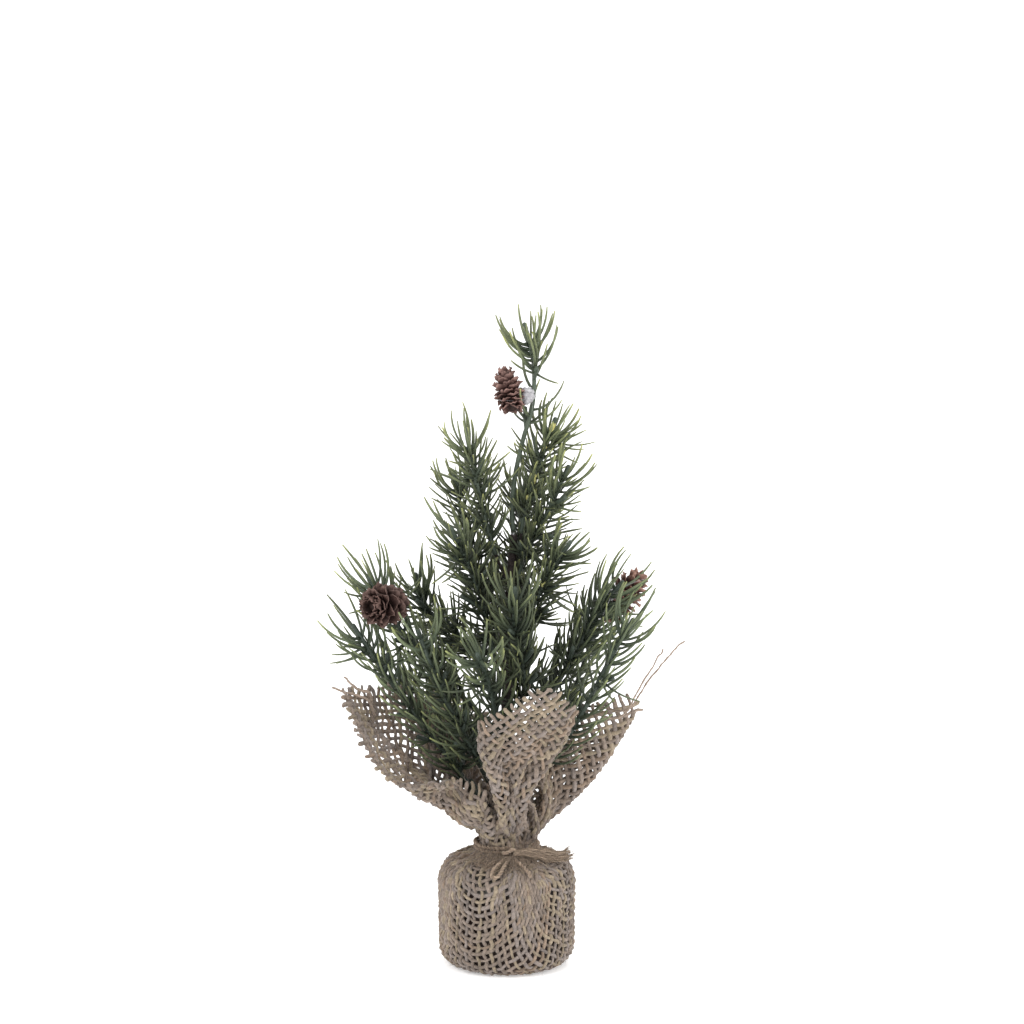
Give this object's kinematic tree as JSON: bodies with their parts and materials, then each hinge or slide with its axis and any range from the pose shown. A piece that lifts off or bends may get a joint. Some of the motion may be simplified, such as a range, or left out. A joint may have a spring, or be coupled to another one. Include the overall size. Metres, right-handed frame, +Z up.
{
  "type": "artificial tabletop tree",
  "caption": "Small artificial evergreen tree with wired, bendable sprays and glued cones, standing in a ballasted cup wrapped in a burlap square tied with twine.",
  "frame": {"origin": "centre of the round base, on the surface that the tree stands on", "axes": "+Z up along the trunk, -Y towards the front, +X to the right seen from the front"},
  "size_m": [0.1382, 0.1181, 0.3],
  "materials": {
    "burlap": "matte",
    "jute_twine": "matte",
    "needles": "satin",
    "paper_tape": "matte",
    "cone_scales": "matte",
    "hot_glue": "gloss",
    "cup_plastic": "satin",
    "cement": "matte",
    "steel_wire": "satin"
  },
  "bodies": {
    "root": {"pot_shell": "cup_plastic", "cement_ballast": "cement", "trunk_rod": "steel_wire", "trunk_wrap": "paper_tape", "burlap_bag": "burlap", "burlap_petal_front": "burlap", "burlap_petal_right": "burlap", "burlap_petal_back": "burlap", "burlap_petal_left": "burlap", "twine_tie": "jute_twine", "twine_knot": "jute_twine", "twine_loop": "jute_twine", "twine_end_front": "jute_twine", "twine_tail_right": "jute_twine"},
    "leader": {"leader_spray": "needles", "cone_top": "cone_scales", "glue_bead_top": "hot_glue"},
    "upper_left": {"upper_left_wire": "paper_tape", "upper_left_spray": "needles"},
    "upper_left_rear": {"upper_left_rear_wire": "paper_tape", "upper_left_rear_spray": "needles"},
    "upper_right": {"upper_right_wire": "paper_tape", "upper_right_spray": "needles"},
    "upper_right_front": {"upper_right_front_wire": "paper_tape", "upper_right_front_spray": "needles"},
    "mid_left_front": {"mid_left_front_wire": "paper_tape", "mid_left_front_spray": "needles"},
    "mid_left_rear": {"mid_left_rear_wire": "paper_tape", "mid_left_rear_spray": "needles"},
    "mid_right": {"mid_right_wire": "paper_tape", "mid_right_spray": "needles"},
    "cone_left": {"cone_left_wire": "paper_tape", "cone_left_spray": "needles", "cone_left": "cone_scales", "glue_bead_left": "hot_glue"},
    "cone_right": {"cone_right_wire": "paper_tape", "cone_right_spray": "needles", "cone_right": "cone_scales", "glue_bead_right": "hot_glue"},
    "centre_front": {"centre_front_wire": "paper_tape", "centre_front_spray": "needles"},
    "low_front": {"low_front_wire": "paper_tape", "low_front_spray": "needles"},
    "low_left_front": {"low_left_front_wire": "paper_tape", "low_left_front_spray": "needles"},
    "low_left": {"low_left_wire": "paper_tape", "low_left_spray": "needles"},
    "low_left_rear": {"low_left_rear_wire": "paper_tape", "low_left_rear_spray": "needles"},
    "low_right": {"low_right_wire": "paper_tape", "low_right_spray": "needles"},
    "back_right": {"back_right_wire": "paper_tape", "back_right_spray": "needles"},
    "back_left": {"back_left_wire": "paper_tape", "back_left_spray": "needles"},
    "back_mid": {"back_mid_wire": "paper_tape", "back_mid_spray": "needles"},
    "back_upper": {"back_upper_wire": "paper_tape", "back_upper_spray": "needles"}
  },
  "joints": [
    {"name": "leader_bend", "type": "hinge", "parent": "root", "child": "leader", "pos_m": [0.00304, 0, 0.1963], "axis": [0, 1, 0], "range_deg": [-6, 9]},
    {"name": "upper_left_bend", "type": "hinge", "parent": "root", "child": "upper_left", "pos_m": [-0.00095, -0.00117, 0.176], "axis": [0.3755, -0.9268, 0], "range_deg": [-3, 24]},
    {"name": "upper_left_rear_bend", "type": "hinge", "parent": "root", "child": "upper_left_rear", "pos_m": [-0.00238, 0.00156, 0.144], "axis": [-0.4433, -0.8964, 0], "range_deg": [-6, 24]},
    {"name": "upper_right_bend", "type": "hinge", "parent": "root", "child": "upper_right", "pos_m": [0.00531, 0.00089, 0.184], "axis": [-0.2958, 0.9553, 0], "range_deg": [-6, 24]},
    {"name": "upper_right_front_bend", "type": "hinge", "parent": "root", "child": "upper_right_front", "pos_m": [0.00445, -0.00096, 0.163], "axis": [0.2921, 0.9564, 0], "range_deg": [-3, 24]},
    {"name": "mid_left_front_bend", "type": "hinge", "parent": "root", "child": "mid_left_front", "pos_m": [-0.00272, -0.00181, 0.13], "axis": [0.4903, -0.8716, 0], "range_deg": [-6, 24]},
    {"name": "mid_left_rear_bend", "type": "hinge", "parent": "root", "child": "mid_left_rear", "pos_m": [-0.00332, 0.00125, 0.118], "axis": [-0.3252, -0.9456, 0], "range_deg": [-6, 24]},
    {"name": "mid_right_bend", "type": "hinge", "parent": "root", "child": "mid_right", "pos_m": [0.00377, -0.00177, 0.14], "axis": [0.4972, 0.8677, 0], "range_deg": [-6, 24]},
    {"name": "cone_left_bend", "type": "hinge", "parent": "root", "child": "cone_left", "pos_m": [-0.00383, -0.00046, 0.104], "axis": [0.1147, -0.9934, 0], "range_deg": [-6, 24]},
    {"name": "cone_right_bend", "type": "hinge", "parent": "root", "child": "cone_right", "pos_m": [0.00416, 0.0004, 0.096], "axis": [-0.0964, 0.9953, 0], "range_deg": [-6, 24]},
    {"name": "centre_front_bend", "type": "hinge", "parent": "root", "child": "centre_front", "pos_m": [0.00066, -0.00396, 0.104], "axis": [0.9914, 0.1307, 0], "range_deg": [-6, 24]},
    {"name": "low_front_bend", "type": "hinge", "parent": "root", "child": "low_front", "pos_m": [-0.00105, -0.00405, 0.088], "axis": [0.965, -0.2623, 0], "range_deg": [-6, 12]},
    {"name": "low_left_front_bend", "type": "hinge", "parent": "root", "child": "low_left_front", "pos_m": [-0.00369, -0.00219, 0.078], "axis": [0.5087, -0.8609, 0], "range_deg": [-6, 12]},
    {"name": "low_left_bend", "type": "hinge", "parent": "root", "child": "low_left", "pos_m": [-0.00442, -0.00079, 0.0635], "axis": [0.175, -0.9846, 0], "range_deg": [-6, 6]},
    {"name": "low_left_rear_bend", "type": "hinge", "parent": "root", "child": "low_left_rear", "pos_m": [-0.00423, 0.00136, 0.067], "axis": [-0.3046, -0.9525, 0], "range_deg": [-6, 12]},
    {"name": "low_right_bend", "type": "hinge", "parent": "root", "child": "low_right", "pos_m": [0.00432, -0.00116, 0.066], "axis": [0.2601, 0.9656, 0], "range_deg": [-6, 12]},
    {"name": "back_right_bend", "type": "hinge", "parent": "root", "child": "back_right", "pos_m": [0.00303, 0.00316, 0.074], "axis": [-0.7243, 0.6895, 0], "range_deg": [-6, 12]},
    {"name": "back_left_bend", "type": "hinge", "parent": "root", "child": "back_left", "pos_m": [-0.0029, 0.00328, 0.072], "axis": [-0.7473, -0.6645, 0], "range_deg": [-6, 12]},
    {"name": "back_mid_bend", "type": "hinge", "parent": "root", "child": "back_mid", "pos_m": [0.00039, 0.00392, 0.11], "axis": [-0.9989, 0.0472, 0], "range_deg": [-6, 24]},
    {"name": "back_upper_bend", "type": "hinge", "parent": "root", "child": "back_upper", "pos_m": [0.00208, 0.00324, 0.15], "axis": [-0.9405, 0.3399, 0], "range_deg": [-6, 24]}
  ]
}
